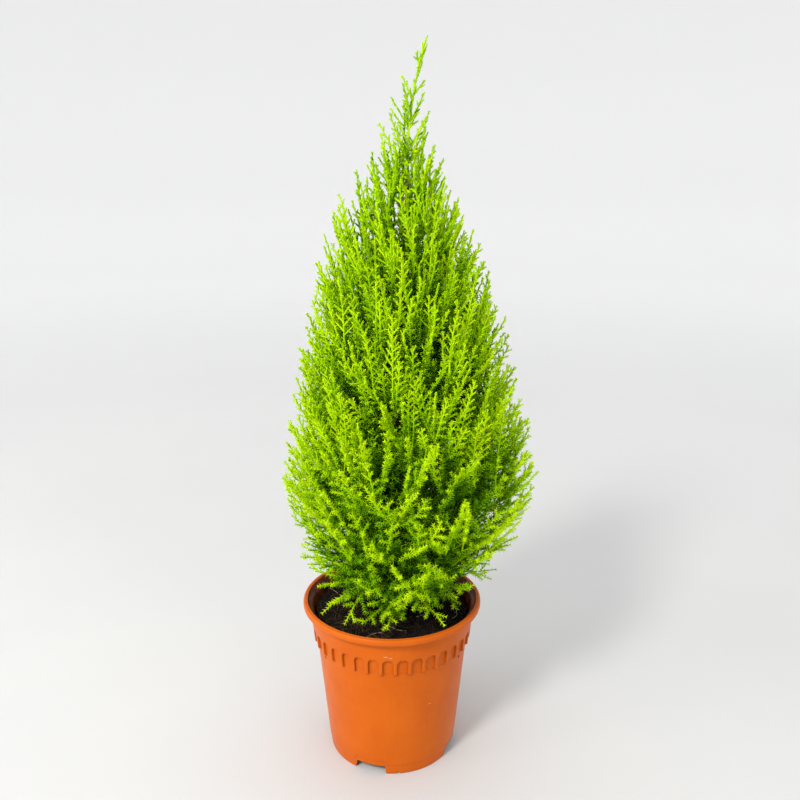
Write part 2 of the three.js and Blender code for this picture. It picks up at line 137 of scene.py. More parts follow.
def pot_rings():
    """The pot's skin: pad, raised floor and foot with rounded edges, wall, collar, lip and inside."""
    notch = foot_notch()
    rim = FOOT_RADIUS - WALL
    pad_top = PAD_RADIUS + PAD_SLOPE
    under = [(PAD_RADIUS - 0.5, 0), (PAD_RADIUS, 0.4), (pad_top - 0.3, FLOOR_RAISED - 0.6)]
    under += [(pad_top + 0.4, FLOOR_RAISED), (rim - 0.5, FLOOR_RAISED), (rim, FLOOR_RAISED - 0.4)]
    under += [(rim, notch * 0.9 + 0.5), (rim + 0.4, notch), (FOOT_RADIUS - SEAM_STEP - 0.4, notch)]
    rings = [round_ring(radius, height) for radius, height in under]
    for height in WALL_RINGS:
        lifted = notch + height * (1 - notch / FOOT_BLEND) if height < FOOT_BLEND else height
        step = SEAM_STEP * (1 - smooth_step(SEAM_HEIGHT - 0.6, SEAM_HEIGHT + 0.2, height))
        rings.append(round_ring(wall_radius(lifted) - step, lifted))
    proud = wall_radius(COLLAR_BOTTOM) + COLLAR_PROUD
    rings += [round_ring(wall_radius(COLLAR_BOTTOM), COLLAR_BOTTOM - 0.3)]
    rings += [round_ring(proud - 0.5 - flute_cut(COLLAR_BOTTOM), COLLAR_BOTTOM)]
    for height in COLLAR_RINGS:
        rings.append(round_ring(wall_radius(height) + COLLAR_PROUD - flute_cut(height), height))
    floor = FLOOR_RAISED + WALL
    inner = [(wall_radius(COLLAR_BOTTOM) - WALL, COLLAR_BOTTOM), (wall_radius(60) - WALL, 60)]
    inner += [(wall_radius(floor) - WALL, floor + 0.6), (wall_radius(floor) - WALL - 0.6, floor)]
    inner += [(pad_top - WALL, floor), (PAD_RADIUS - WALL, WALL)]
    return rings + [round_ring(radius, height) for radius, height in LIP_PROFILE + inner]


def in_scene(name, data):
    piece = bpy.data.objects.new(name, data)
    bpy.context.scene.collection.objects.link(piece)
    return piece


def new_piece(name, points, faces):
    mesh = bpy.data.meshes.new(name)
    mesh.from_pydata(points, [], faces)
    return in_scene(name, mesh)


def ring_faces(columns, rows, closed):
    """The faces that join a pole to rings of points and, if closed, the last ring to another pole."""
    faces = []
    for column in range(columns):
        after = (column + 1) % columns
        faces.append((0, 1 + after, 1 + column))
        for row in range(rows - 1):
            low, high = 1 + row * columns, 1 + (row + 1) * columns
            faces.append((low + column, low + after, high + after, high + column))
        if closed:
            last = 1 + (rows - 1) * columns
            faces.append((last + column, last + after, 1 + rows * columns))
    return faces


def closed_rings(name, low_pole, rings, high_pole):
    """A closed skin of rings, from a pole on the axis to another, with its faces outwards."""
    points = np.concatenate([[low_pole], *rings, [high_pole]])
    piece = new_piece(name, points * MM, ring_faces(len(rings[0]), len(rings), True))
    piece.data.validate()
    return piece


def hole_pins():
    """The round pins that leave the drain holes in the floor and the hanger holes under the collar."""
    pins = bmesh.new()

    def add_pin(turn, place, tilt, radius, depth, sides):
        spot = Matrix.Rotation(math.radians(turn), 4, "Z") @ Matrix.Translation(Vector(place) * MM)
        bmesh.ops.create_cone(pins, cap_ends=True, segments=sides, radius1=radius * MM, radius2=radius * MM,
                              depth=depth * MM, matrix=spot @ Matrix.Rotation(tilt, 4, "X"))

    in_floor = (0, -DRAIN_CIRCLE, FLOOR_RAISED + WALL / 2)
    for i in range(DRAIN_HOLES):
        add_pin(360 / DRAIN_HOLES * i, in_floor, 0, DRAIN_RADIUS, 4 * WALL, 28)
    in_wall = (0, -wall_radius(HANGER_HEIGHT), HANGER_HEIGHT)
    for i in range(HANGER_HOLES):
        add_pin(HANGER_TURN + 360 / HANGER_HOLES * i, in_wall, math.pi / 2, HANGER_RADIUS, 8 * WALL, 20)
    mesh = bpy.data.meshes.new("hole_pins")
    pins.to_mesh(mesh)
    pins.free()
    return in_scene("hole_pins", mesh)


def drawn_mesh(piece):
    """The plain mesh that a piece's modifiers make of it; the modifiers come off."""
    drawn = piece.evaluated_get(bpy.context.evaluated_depsgraph_get())
    mesh = bpy.data.meshes.new_from_object(drawn)
    piece.modifiers.clear()
    return mesh


def smooth_shaded(piece, angle):
    piece.data.shade_smooth()
    piece.data.set_sharp_from_angle(angle=math.radians(angle))


def add_node(tree, kind, inputs=None, **settings):
    made = tree.nodes.new(kind)
    for key, value in settings.items():
        setattr(made, key, value)
    for key, value in (inputs or {}).items():
        if isinstance(value, bpy.types.Node):
            value = value.outputs[0]
        if isinstance(value, bpy.types.NodeSocket):
            tree.links.new(value, made.inputs[key])
        else:
            made.inputs[key].default_value = value
    return made


def as_light(colour):
    """Red, green and blue as they show on a screen, 0 to 255, as light; a linked colour stays as it is."""
    if isinstance(colour, bpy.types.NodeSocket):
        return colour
    shares = [value / 255 for value in colour]
    return (*[s / 12.92 if s <= 0.04045 else ((s + 0.055) / 1.055) ** 2.4 for s in shares], 1)


def new_finish(name, roughness, shine):
    """A finish with its tree, the inputs of its skin and the places on the piece."""
    finish = bpy.data.materials.new(name)
    finish.use_nodes = True
    tree = finish.node_tree
    skin = tree.nodes["Principled BSDF"].inputs
    skin["Roughness"].default_value = roughness
    skin["Specular IOR Level"].default_value = shine
    return finish, tree, skin, add_node(tree, "ShaderNodeTexCoord").outputs["Object"]


# Each step of a finish adds its node to the tree of the first socket that it is given.
def grain(where, scale, detail=4.0, rough=0.55):
    spread = {"Vector": where, "Scale": scale, "Detail": detail, "Roughness": rough}
    return add_node(where.id_data, "ShaderNodeTexNoise", spread).outputs["Fac"]


def between(value, low, high, to_low=0.0, to_high=1.0):
    ends = {"Value": value, "From Min": low, "From Max": high, "To Min": to_low, "To Max": to_high}
    return add_node(value.id_data, "ShaderNodeMapRange", ends).outputs["Result"]


def maths(operation, *values):
    tree = values[0].id_data
    return add_node(tree, "ShaderNodeMath", dict(enumerate(values)), operation=operation).outputs[0]


def product(first, *others):
    for value in others:
        first = maths("MULTIPLY", first, value)
    return first


def vector_length(vector):
    return add_node(vector.id_data, "ShaderNodeVectorMath", {0: vector}, operation="LENGTH").outputs["Value"]


def blend(share, first, second):
    sides = {0: share, 6: as_light(first), 7: as_light(second)}
    return add_node(share.id_data, "ShaderNodeMix", sides, data_type="RGBA").outputs[2]


def stretched(where, scale):
    return add_node(where.id_data, "ShaderNodeMapping", {"Vector": where, "Scale": scale}).outputs[0]


def raised(height, strength, distance):
    relief = {"Height": height, "Strength": strength, "Distance": distance}
    return add_node(height.id_data, "ShaderNodeBump", relief).outputs["Normal"]


def terracotta_plastic():
    finish, tree, skin, where = new_finish("terracotta_plastic", 0.36, 0.12)
    parts = add_node(tree, "ShaderNodeSeparateXYZ", {"Vector": where}).outputs
    flat = add_node(tree, "ShaderNodeCombineXYZ", {"X": parts["X"], "Y": parts["Y"]})
    radius = vector_length(flat)
    wall_line = maths("MULTIPLY_ADD", parts["Z"], -WALL_SLOPE, radius)

    def off_wall(low, high):
        return between(wall_line, (FOOT_RADIUS + low) * MM, (FOOT_RADIUS + high) * MM)

    def at_height(low, high):
        return between(parts["Z"], low * MM, high * MM)

    cloudy = between(grain(where, 26), 0.3, 0.7)
    colour = blend(cloudy, POT_ORANGE, POT_ORANGE_LIGHT)
    drag = stretched(where, (1.0, 1.0, 0.16))
    streaks = between(grain(drag, 420, 3), 0.58, 0.8)
    colour = blend(product(streaks, 0.25), colour, DRAG_MARK)

    # Inside the pot and on the lip's inner slope the colour darkens to brown: soil dirt and painted shade.
    upper = product(at_height(124, 125), off_wall(0.4, 0.2))
    lip_line = product(at_height(138, 138.5), between(radius, 76.1 * MM, 75.7 * MM))
    inside = maths("MAXIMUM", off_wall(-0.6, -1.4), maths("MAXIMUM", upper, lip_line))
    soiled_and_shaded = between(grain(where, 75, 6), 0.35, 0.62, 0.55, 0.95)
    colour = blend(product(inside, soiled_and_shaded), colour, SOILED_AND_SHADED)

    # Painted shade: the steep sides of the flutes are darkened, as lines round each recess.
    steep = product(off_wall(0.4, 0.9), off_wall(2.6, 2.1))
    fluted = product(at_height(COLLAR_BOTTOM, COLLAR_BOTTOM + 1), at_height(123, 122))
    colour = blend(product(steep, fluted, 0.45), colour, PAINTED_FLUTE_SHADE)
    # Painted shadow: the wall under the collar's tabs, beside the flutes, is darkened.
    about = maths("ARCTAN2", parts["X"], product(parts["Y"], -1.0))
    first_flute = FLUTES - FLUTE_TURN / flute_pitch
    flute_count = maths("MULTIPLY_ADD", about, FLUTES / (2 * math.pi), first_flute)
    beside = between(maths("PINGPONG", flute_count, 0.5), 0.2, 0.12)
    under = product(at_height(COLLAR_BOTTOM - 3.5, COLLAR_BOTTOM), off_wall(0.5, 0.3))
    under = product(under, at_height(COLLAR_BOTTOM + 1, COLLAR_BOTTOM), beside)
    colour = blend(product(under, 0.6), colour, PAINTED_COLLAR_SHADOW)

    patchy = between(grain(where, 260, 2), 0.36, 0.62)
    for across, height, lean, long in SCUFFS:
        outside = wall_radius(height) + (COLLAR_PROUD if height > COLLAR_BOTTOM else 0)
        spot = (across * MM, -math.sqrt(outside ** 2 - across ** 2) * MM, height * MM)
        moved = add_node(tree, "ShaderNodeVectorMath", {0: where, 1: spot}, operation="SUBTRACT")
        laid = add_node(tree, "ShaderNodeMapping", {
            "Vector": moved, "Rotation": (0, math.radians(lean), 0),
            "Scale": (1 / (long * MM), 0.4 / MM, 1 / (SCUFF_WIDTH * MM))})
        near = between(vector_length(laid), 1.0, 0.25)
        colour = blend(product(near, patchy, 0.8), colour, SCUFF_WHITE)
    tree.links.new(colour, skin["Base Color"])
    wear = between(grain(where, 60, 5), 0.25, 0.75, 0.3, 0.42)
    tree.links.new(wear, skin["Roughness"])
    pebble = grain(where, 900, 2)
    tree.links.new(raised(pebble, 0.12, 0.0004), skin["Normal"])
    return finish


pot = closed_rings("nursery_pot", (0, 0, 0), pot_rings(), (0, 0, WALL))
pins = hole_pins()
cut = pot.modifiers.new("holes", "BOOLEAN")
cut.operation = "DIFFERENCE"
cut.solver = "MANIFOLD"
cut.object = pins
pot.data = drawn_mesh(pot)
bpy.data.objects.remove(pins)
smooth_shaded(pot, 42)
pot.data.materials.clear()
pot.data.materials.append(terracotta_plastic())
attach(pot, "root")
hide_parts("pot")


# The potting mix is dark, damp peat with chopped coir, filled to a finger's width under the lip
# and firmed by hand, a little higher round the stem. Its crumbs and loose fibres lie on top.
GAP = 0.3
MIX_EDGE = 133
MIX_CROWN = 135.5
MIX_FLAT_RADIUS = 14
MIX_COLUMNS = 180
MIX_RINGS = 46
LUMPS = [(1.5, 17, 3), (1.1, 6, 9), (0.7, 2.6, 5)]
LUMPS_FADE = 5
CRUMBS_PER_M2 = 260000
CRUMB_SIZE = (0.45, 1.7)
FIBRES = 200
FIBRES_CROWDED = 0.6
FIBRES_PALE = 0.06
FIBRE_LENGTH = (9, 30)
FIBRE_PLACE = (24, 66)
FIBRE_LIMIT = 68
FIBRE_STEPS = 6
FIBRE_LIFT = 0.5
FIBRE_THICKNESS = 0.34
FIBRE_TAPER = 0.16
PALE_STOUTER = 1.3
DAMP_PEAT = ((9, 7, 6), (27, 19, 14))
CRUMB_BROWN = ((11, 8, 7), (40, 28, 20))
COIR_BROWN = ((40, 28, 18), (94, 72, 48))
ROOT_CREAM = ((118, 112, 90), (160, 152, 126))

mix_turns = np.radians(360 / MIX_COLUMNS * np.arange(MIX_COLUMNS))


def mix_top(x, y):
    """The lumpy height of the mix; each size of lump has its height, width and layer of noise."""
    radius = math.hypot(x, y)
    edge = wall_radius(MIX_EDGE) - WALL - GAP
    share = min(max((radius - MIX_FLAT_RADIUS) / (edge - MIX_FLAT_RADIUS), 0), 1)
    lumps = sum(tall * noise.noise(Vector((x, y, layer)) / wide) for tall, wide, layer in LUMPS)
    return MIX_CROWN + (MIX_EDGE - MIX_CROWN) * share + lumps * min(1, (edge - radius) / LUMPS_FADE + 0.25)


def mix_ring(radius, height=None):
    ring = round_ring(radius, height or 0, mix_turns)
    if height is None:
        ring[:, 2] = [mix_top(x, y) for x, y, _ in ring]
    return ring


def start_tree(name, sizes):
    """An empty geometry tree with a named input for each size."""
    tree = bpy.data.node_groups.new(name, "GeometryNodeTree")
    for label, kind in {"Geometry": "Geometry", **sizes}.items():
        tree.interface.new_socket(label, in_out="INPUT", socket_type="NodeSocket" + kind)
    tree.interface.new_socket("Geometry", in_out="OUTPUT", socket_type="NodeSocketGeometry")
    return tree, add_node(tree, "NodeGroupInput").outputs


def end_tree(tree, geometry, finish):
    """Every tree ends in real meshes with their finish on."""
    real = add_node(tree, "GeometryNodeRealizeInstances", {"Geometry": geometry})
    painted = add_node(tree, "GeometryNodeSetMaterial", {"Geometry": real, "Material": finish})
    add_node(tree, "NodeGroupOutput", {0: painted})
    return tree


def grown(name, source, tree, sizes):
    """The plain mesh that a tree makes of a source, as a new piece."""
    maker = source.modifiers.new(tree.name, "NODES")
    maker.node_group = tree
    for item in tree.interface.items_tree:
        if item.in_out == "INPUT" and item.name in sizes:
            maker[item.identifier] = sizes[item.name]
    source.update_tag()
    bpy.context.view_layer.update()
    mesh = drawn_mesh(source)
    mesh.name = name
    return in_scene(name, mesh)


def crumb_tree():
    """Odd-shaped crumbs strewn on the faces that look up."""
    sizes = {"Crumbs per m2": "Float", "Smallest": "Float", "Largest": "Float", "Seed": "Int"}
    tree, given = start_tree("crumbs", {**sizes, "Finish": "Material"})
    facing = add_node(tree, "GeometryNodeInputNormal")
    up = add_node(tree, "ShaderNodeSeparateXYZ", {0: facing}).outputs["Z"]
    upward = add_node(tree, "FunctionNodeCompare", {0: up, 1: 0.6}, operation="GREATER_THAN")
    strewn = add_node(tree, "GeometryNodeDistributePointsOnFaces", {
        "Mesh": given["Geometry"], "Selection": upward, "Density": given["Crumbs per m2"],
        "Seed": given["Seed"]})
    crumb = add_node(tree, "GeometryNodeMeshIcoSphere", {"Radius": 1.0, "Subdivisions": 1})
    size = add_node(tree, "FunctionNodeRandomValue", {0: given["Smallest"], 1: given["Largest"], "Seed": 4},
                    data_type="FLOAT_VECTOR")
    turn = add_node(tree, "FunctionNodeRandomValue", {0: (0, 0, 0), 1: (6.3, 6.3, 6.3), "Seed": 7},
                    data_type="FLOAT_VECTOR")
    placed = add_node(tree, "GeometryNodeInstanceOnPoints", {
        "Points": strewn, "Instance": crumb, "Rotation": turn, "Scale": size})
    return end_tree(tree, placed, given["Finish"])


def kept_value(tree, label, kind):
    return add_node(tree, "GeometryNodeInputNamedAttribute", {"Name": label}, data_type=kind)


def tube_tree():
    """Round stems on lines of edges; each point's own thickness is kept with it."""
    tree, given = start_tree("stems", {"Sides": "Int", "Finish": "Material"})
    line = add_node(tree, "GeometryNodeMeshToCurve", {"Mesh": given["Geometry"]})
    ring = add_node(tree, "GeometryNodeCurvePrimitiveCircle", {"Resolution": given["Sides"], "Radius": 1.0})
    thick = kept_value(tree, "thickness", "FLOAT")
    tubes = add_node(tree, "GeometryNodeCurveToMesh", {
        "Curve": line, "Profile Curve": ring, "Scale": thick, "Fill Caps": True})
    return end_tree(tree, tubes, given["Finish"])


def point_source(name, points, kept):
    """Loose points, with the values or vectors that are kept for each of them."""
    mesh = bpy.data.meshes.new(name)
    mesh.vertices.add(len(points))
    mesh.vertices.foreach_set("co", (points * MM).astype(np.float32).ravel())
    for label, values in kept.items():
        kind, field = ("FLOAT", "value") if values.ndim == 1 else ("FLOAT_VECTOR", "vector")
        mesh.attributes.new(label, kind, "POINT").data.foreach_set(field, values.astype(np.float32).ravel())
    return in_scene(name, mesh)


def stems(name, lines, thickness, sides, finish):
    """Round stems on lines of points, each point with a thickness of its own."""
    source = point_source("lines", lines.reshape(-1, 3), {"thickness": thickness.ravel() * MM})
    rows = np.arange(thickness.size).reshape(thickness.shape)
    edges = np.stack([rows[:, :-1].ravel(), rows[:, 1:].ravel()], axis=1)
    source.data.edges.add(len(edges))
    source.data.edges.foreach_set("vertices", edges.astype(np.int32).ravel())
    piece = grown(name, source, stem_tree, {"Sides": sides, "Finish": finish})
    bpy.data.objects.remove(source)
    return piece


def peat(name, dark, light):
    finish, tree, skin, where = new_finish(name, 0.93, 0.2)
    clods = between(grain(where, 170, 6, 0.65), 0.35, 0.7)
    tree.links.new(blend(clods, dark, light), skin["Base Color"])
    tree.links.new(raised(grain(where, 620, 5, 0.7), 0.8, 0.0012), skin["Normal"])
    return finish


def loose_fibres():
    """Fibres lie on the mix, most of them at the left of the front."""
    draw = np.random.default_rng(31)
    points, thickness = [], []
    for i in range(FIBRES):
        crowded = i < FIBRES * FIBRES_CROWDED
        turn = math.radians(draw.normal(-48, 34)) if crowded else draw.uniform(-math.pi, math.pi)
        radius = draw.uniform(*FIBRE_PLACE)
        heading = draw.uniform(0, 2 * math.pi)
        length = draw.uniform(*FIBRE_LENGTH) * (0.6 + 0.4 * draw.random())
        curl = draw.normal(0, 0.9)
        x, y = radius * math.sin(turn), -radius * math.cos(turn)
        arch = draw.uniform(0.2, 2.2)
        for step in range(FIBRE_STEPS + 1):
            share = step / FIBRE_STEPS
            reach = math.hypot(x, y)
            if reach > FIBRE_LIMIT:
                x, y = x * FIBRE_LIMIT / reach, y * FIBRE_LIMIT / reach
            points.append((x, y, mix_top(x, y) + FIBRE_LIFT + arch * math.sin(math.pi * share)))
            thickness.append(FIBRE_THICKNESS - FIBRE_TAPER * share)
            heading += curl / FIBRE_STEPS
            x += length / FIBRE_STEPS * math.cos(heading)
            y += length / FIBRE_STEPS * math.sin(heading)
    return np.array(points).reshape(FIBRES, -1, 3), np.array(thickness).reshape(FIBRES, -1)


inner_edge = wall_radius(MIX_EDGE) - WALL - GAP
mix_floor = FLOOR_RAISED + WALL + GAP
mix_rings = [mix_ring(PAD_RADIUS - WALL - GAP, WALL + GAP)]
mix_rings += [mix_ring(PAD_RADIUS + PAD_SLOPE - WALL - GAP, mix_floor)]
mix_rings += [mix_ring(wall_radius(height) - WALL - GAP, height) for height in (mix_floor, 100)]
mix_rings += [mix_ring(inner_edge - 0.3)]
mix_rings += [mix_ring(inner_edge * (1 - i / MIX_RINGS)) for i in range(1, MIX_RINGS)]
mix = closed_rings("potting_mix_top", (0, 0, WALL + GAP), mix_rings, (0, 0, mix_top(0, 0)))
smooth_shaded(mix, 60)
mix.data.materials.append(peat("damp_peat", *DAMP_PEAT))
crumbs = grown("peat_crumbs", mix, crumb_tree(), {
    "Crumbs per m2": CRUMBS_PER_M2, "Smallest": CRUMB_SIZE[0] * MM, "Largest": CRUMB_SIZE[1] * MM,
    "Seed": 12, "Finish": peat("peat_crumb", *CRUMB_BROWN)})
stem_tree = tube_tree()
fibre_lines, fibre_thickness = loose_fibres()
pale = FIBRES - int(FIBRES * FIBRES_PALE)
coir, cream = peat("coir", *COIR_BROWN), peat("pale_root", *ROOT_CREAM)
fibres = stems("coir_fibres", fibre_lines[:pale], fibre_thickness[:pale], 4, coir)
fine_roots = stems("pale_roots", fibre_lines[pale:], fibre_thickness[pale:] * PALE_STOUTER, 4, cream)
for piece in (mix, crumbs, fibres, fine_roots):
    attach(piece, "root")
    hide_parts("potting_mix")


# The trunk is one straight young stem that leans a little to the right and nods at its very tip.
# Its bark is thin, reddish brown and shreds into narrow upright strips; the foot swells above the mix.
TRUNK_FOOT = 135.8
TRUNK_SUNK = 1.5
TREE_TIP = 616
TRUNK_TIP = 540
TRUNK_FOOT_X = 4
TRUNK_LEAN = 9
TRUNK_LEAN_END = 0.75
TIP_NOD = 15
TIP_NOD_FROM = 555
TIP_NOD_POWER = 1.6
TRUNK_BOW = 3
TRUNK_RADIUS = 6
TRUNK_TIP_RADIUS = 1.1
ROOT_FLARE = 3.5
ROOT_FLARE_HEIGHT = 9
ROOT_LOBES = 4
ROOT_LOBE_DEPTH = 0.12
ROOT_LOBE_HEIGHT = 12
TRUNK_COLUMNS = 40
TRUNK_RINGS = 200
TRUNK_RINGS_POWER = 1.1
BARK_STRIP = 0.45
BARK_STRIPS_ROUND = 3.2
BARK_STRIP_LONG = 17
BARK_BROWN = ((74, 40, 24), (152, 92, 58))
BARK_MOSS = (118, 104, 62)
YOUNG_STEM = (122, 158, 20)
GREEN_FROM = 498
GREEN_BLEND = 25


def trunk_centre(height):
    height = np.asarray(height, float)
    share = (height - TRUNK_FOOT) / (TREE_TIP - TRUNK_FOOT)
    lean = TRUNK_LEAN * np.sin(np.pi / 2 * np.clip(share / TRUNK_LEAN_END, 0, 1))
    nod = TIP_NOD * np.clip((height - TIP_NOD_FROM) / (TREE_TIP - TIP_NOD_FROM), 0, 1) ** TIP_NOD_POWER
    return np.stack([TRUNK_FOOT_X + lean + nod, TRUNK_BOW * np.sin(np.pi * share), height], axis=-1)


def trunk_radius(height):
    share = np.clip((height - TRUNK_FOOT) / (TRUNK_TIP - TRUNK_FOOT), 0, 1)
    flare = ROOT_FLARE * np.exp(-np.maximum(height - TRUNK_FOOT, 0) / ROOT_FLARE_HEIGHT)
    return TRUNK_RADIUS + (TRUNK_TIP_RADIUS - TRUNK_RADIUS) * share + flare


def trunk_rings():
    rings = []
    for share in np.linspace(0, 1, TRUNK_RINGS) ** TRUNK_RINGS_POWER:
        height = TRUNK_FOOT - TRUNK_SUNK + (TRUNK_TIP - TRUNK_FOOT + TRUNK_SUNK) * share
        centre, radius = trunk_centre(height), float(trunk_radius(height))
        low_down = math.exp(-max(height - TRUNK_FOOT, 0) / ROOT_LOBE_HEIGHT)
        ring = []
        for column in range(TRUNK_COLUMNS):
            turn = 2 * math.pi * column / TRUNK_COLUMNS
            side, front = math.sin(turn), -math.cos(turn)
            spot = Vector((BARK_STRIPS_ROUND * side, BARK_STRIPS_ROUND * front, height / BARK_STRIP_LONG))
            strips = noise.noise(spot * 1.6) + 0.6 * noise.noise(spot * 3.7 + Vector((9, 0, 0)))
            lobes = ROOT_LOBE_DEPTH * math.sin(ROOT_LOBES * turn + 1) * low_down
            out = radius * (1 + lobes) + BARK_STRIP * strips * min(1, radius / 4)
            ring.append((centre[0] + out * side, centre[1] + out * front, height))
        rings.append(np.array(ring))
    return rings


def shredding_bark(name, dark, light):
    finish, tree, skin, where = new_finish(name, 0.82, 0.5)
    strips = stretched(where, (1.0, 1.0, 0.14))
    strip = between(grain(strips, 520, 5, 0.6), 0.32, 0.68)
    colour = blend(strip, dark, light)
    moss = between(grain(where, 48, 3), 0.55, 0.75, 0.0, 0.35)
    colour = blend(moss, colour, BARK_MOSS)
    height = add_node(tree, "ShaderNodeSeparateXYZ", {"Vector": where}).outputs["Z"]
    young = between(height, GREEN_FROM * MM, (GREEN_FROM + GREEN_BLEND) * MM)
    tree.links.new(blend(young, colour, YOUNG_STEM), skin["Base Color"])
    tree.links.new(raised(grain(strips, 900, 4, 0.65), 0.7, 0.0008), skin["Normal"])
    return finish


trunk_ends = trunk_centre(TRUNK_FOOT - TRUNK_SUNK), trunk_centre(TRUNK_TIP)
trunk = closed_rings("barked_trunk", trunk_ends[0], trunk_rings(), trunk_ends[1])
smooth_shaded(trunk, 80)
trunk.data.materials.append(shredding_bark("shredding_bark", *BARK_BROWN))
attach(trunk, "root")
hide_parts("trunk")


# The branches leave the trunk in a rising spiral, the lowest level and the highest nearly upright.
# Each is a slim woody limb that arches out to the crown's outline; the six lowest show bare boughs.
# The outline gives the crown's reach at a height, and how much further it goes to the right.
CROWN_OUTLINE = np.array([
    (136, 58, -3), (165, 77, 0), (200, 95, 5), (270, 113, 9), (340, 95, 0), (420, 81, 0), (480, 60, -8),
    (540, 25, -2), (580, 14, 0), (616, 0, 0)], float)
WIDEST_HEIGHT = 270
BRANCH_SPACING = (91, 50)
LOW_CROWDING = 0.8
BRANCH_TURN = 137.5
FIRST_TURN = -75
LOWEST_TIP = 143
HIGHEST_TIP = 572
BRANCH_RISE = (-6, 68)
RISE_POWER = 0.7
BRANCH_ARCH = (12, -9)
TURN_JITTER = 10
REACH_JITTER = 0.08
BOUGHS = 6
STEM_SIDES = 3
BOUGH_SIDES = 5
STEM_RADIUS = (2.4, 1.3)
LEADER_SUNK = 6
LEADER_MIDDLE = 0.55
LEADER_SHORT = 2
LIMB_END = 0.68
LIMB_POINTS = 18
LIMB_SUNK = 3
LIMB_TIP_RADIUS = 0.42
LIMB_SIDES = 9
YOUNG_BROWN = ((70, 52, 22), (116, 96, 42))
SEED = 20261

chance_state = SEED


def chance():
    global chance_state
    chance_state = (chance_state * 1664525 + 1013904223) % 4294967296
    return chance_state / 4294967296


def lerp(low, high, share):
    return low + (high - low) * share


def crown_share(height):
    return (height - LOWEST_TIP) / (HIGHEST_TIP - LOWEST_TIP)


def crown_reach(height, turn):
    heights, reach, further_right = CROWN_OUTLINE.T
    return np.interp(height, heights, reach) + np.interp(height, heights, further_right) * np.cos(turn)


def on_branch(one, t):
    """A point of a branch's line, and its heading there."""
    start, middle, end = one["ends"]
    t = np.asarray(t, float)[..., None]
    point = (1 - t) ** 2 * start + 2 * t * (1 - t) * middle + t ** 2 * end
    heading = (1 - t) * (middle - start) + t * (end - middle)
    return point, heading / np.linalg.norm(heading, axis=-1, keepdims=True)


def new_branch(tip_height, turn, sides):
    """A branch by the source's rule; the last chance is the solid's fullness, drawn to keep in step."""
    share = crown_share(tip_height)
    reach = crown_reach(tip_height, turn) * (1 - REACH_JITTER * chance())
    rise = lerp(*BRANCH_RISE, share ** RISE_POWER)
    launch = tip_height - reach * math.tan(math.radians(rise))
    stem_radius = lerp(*STEM_RADIUS, share)
    bend = 2 * lerp(*BRANCH_ARCH, share ** 0.5)
    steepness = math.atan2(tip_height - launch + 2 * bend, reach)
    lean_back = stem_radius * math.cos(math.pi / sides) * abs(math.sin(steepness))
    clear = trunk_radius(launch - stem_radius) + GAP + lean_back
    out = np.array([math.cos(turn), math.sin(turn), 0])
    start = trunk_centre(launch) + out * clear
    end = trunk_centre(tip_height) + out * reach
    middle = (start + end) / 2 + np.array([0, 0, bend])
    chance()
    return {"ends": (start, middle, end), "radius": stem_radius, "out": out}


def all_branches():
    """Every branch from the lowest up, and last the leader, which carries on the trunk."""
    made, height = [], LOWEST_TIP
    while height < HIGHEST_TIP:
        turn = math.radians(FIRST_TURN + BRANCH_TURN * len(made) + (2 * chance() - 1) * TURN_JITTER)
        made.append(new_branch(height, turn, BOUGH_SIDES if len(made) < BOUGHS else STEM_SIDES))
        spacing = lerp(*BRANCH_SPACING, crown_share(height))
        spacing *= LOW_CROWDING if height < WIDEST_HEIGHT else 1
        height += spacing ** 2 / (2 * math.pi * crown_reach(height, math.pi / 2))
    leader = (TRUNK_TIP - LEADER_SUNK, lerp(TRUNK_TIP, TREE_TIP, LEADER_MIDDLE), TREE_TIP - LEADER_SHORT)
    return made + [{"ends": tuple(trunk_centre(height) for height in leader)}]


branches = all_branches()
limb_lines, limb_thickness = [], []
limb_share = np.linspace(0, LIMB_END, LIMB_POINTS)
for one in branches[:-1]:
    points, _ = on_branch(one, limb_share)
    points[0] -= one["out"] * LIMB_SUNK
    limb_lines.append(points)
    limb_thickness.append(lerp(one["radius"], LIMB_TIP_RADIUS, limb_share))
young_bark = shredding_bark("young_bark", *YOUNG_BROWN)
limbs = stems("branch_limbs", np.array(limb_lines), np.array(limb_thickness), LIMB_SIDES, young_bark)
smooth_shaded(limbs, 60)
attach(limbs, "root")
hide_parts(*[f"bough_{i + 1}" for i in range(BOUGHS)])


# The shoots are this year's soft green growth: their tips are spread evenly over the whole crown by the
# golden angle, and each grows from the nearest branch, turns up to the light and carries short twigs.
# Tables give a value for each height in millimetres, or for each share of the crown's height.
GOLDEN_ANGLE = 137.5
LOWEST_SHOOT = 140
HIGHEST_SHOOT = 609
SHOOT_LENGTH = (62, 34)
SHOOT_UNEVEN = (0.85, 1.15)
SHOOT_RISE = ([0, 0.06, 0.12, 0.2, 0.3, 0.5, 0.84, 0.95, 1], [-20, 2, 24, 44, 58, 66, 74, 70, 60])
SHOOT_TUCK = ([0, 0.1], [0.45, 0.2])
SHOOT_TUCK_POWER = 1.2
SHOOT_LOOSE = ([0, 0.25], [10, 6])
SHOOT_TURN_LOOSE = 0.12
SHOOT_CHECKED = (0.4, 0.7, 0.9, 1)
SPACING_HEIGHT = [150, 200, 320, 430, 500, 580]
SHOOT_LAYERS = [
    {"reach": 1.04, "spacing": [24, 18, 13.6, 12.8, 15, 17.5], "twigs": (3.3, 1.0)},
    {"reach": 0.82, "spacing": [21, 17.5, 13.6, 12, 15.5, 19], "twigs": (5.5, 1.4)},
    {"reach": 0.58, "spacing": [15, 13.5, 12.5, 11.5, 14.5, 19], "twigs": (7.5, 2.2)},
    {"reach": 0.32, "spacing": [15, 13.5, 12.5, 11.5, 14.5, 19], "twigs": (8.0, 2.6)},
]
LAYER_LEAST = 7
